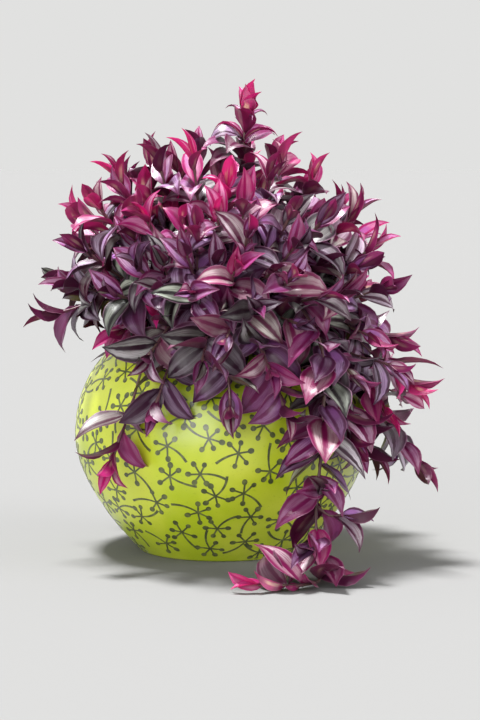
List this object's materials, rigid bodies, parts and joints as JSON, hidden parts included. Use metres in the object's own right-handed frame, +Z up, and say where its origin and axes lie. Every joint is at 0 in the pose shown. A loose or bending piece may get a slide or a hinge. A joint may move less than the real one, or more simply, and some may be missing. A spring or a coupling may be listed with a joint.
{
  "type": "potted tradescantia",
  "caption": "Mounding and trailing tradescantia with striped purple leaves in a squat round glazed pot of potting soil.",
  "frame": {"origin": "centre of the pot's flat foot, on the surface it stands on", "axes": "+Z up along the pot's axis; -Y towards the front, where the long stem trails; +X to the right seen from the front"},
  "size_m": [0.4468, 0.4987, 0.5119],
  "materials": {
    "glaze": "gloss",
    "soil": "matte",
    "foliage": "satin"
  },
  "bodies": {
    "root": {"pot": "glaze", "soil": "soil", "stem_01": "foliage", "stem_02": "foliage", "stem_03": "foliage", "stem_04": "foliage", "stem_05": "foliage", "stem_06": "foliage", "stem_07": "foliage", "stem_08": "foliage", "stem_09": "foliage", "stem_10": "foliage", "stem_11": "foliage", "stem_12": "foliage", "stem_13": "foliage", "stem_14": "foliage", "stem_15": "foliage", "stem_16": "foliage", "stem_17": "foliage", "stem_18": "foliage", "stem_19": "foliage", "stem_20": "foliage", "stem_21": "foliage", "stem_22": "foliage", "stem_23": "foliage", "stem_24": "foliage", "stem_25": "foliage", "stem_26": "foliage", "stem_27": "foliage", "stem_28": "foliage", "stem_29": "foliage", "stem_30": "foliage", "stem_31": "foliage", "stem_32": "foliage", "stem_33": "foliage", "stem_34": "foliage", "stem_35": "foliage", "stem_36": "foliage", "stem_37": "foliage", "stem_38": "foliage", "stem_39": "foliage", "stem_40": "foliage", "stem_41": "foliage", "stem_42": "foliage", "stem_43": "foliage", "stem_44": "foliage", "stem_45": "foliage", "stem_46": "foliage", "stem_47": "foliage", "stem_48": "foliage", "stem_49": "foliage", "stem_50": "foliage", "stem_51": "foliage", "stem_52": "foliage", "stem_53": "foliage", "stem_54": "foliage", "stem_55": "foliage", "stem_56": "foliage", "stem_57": "foliage"}
  },
  "joints": []
}
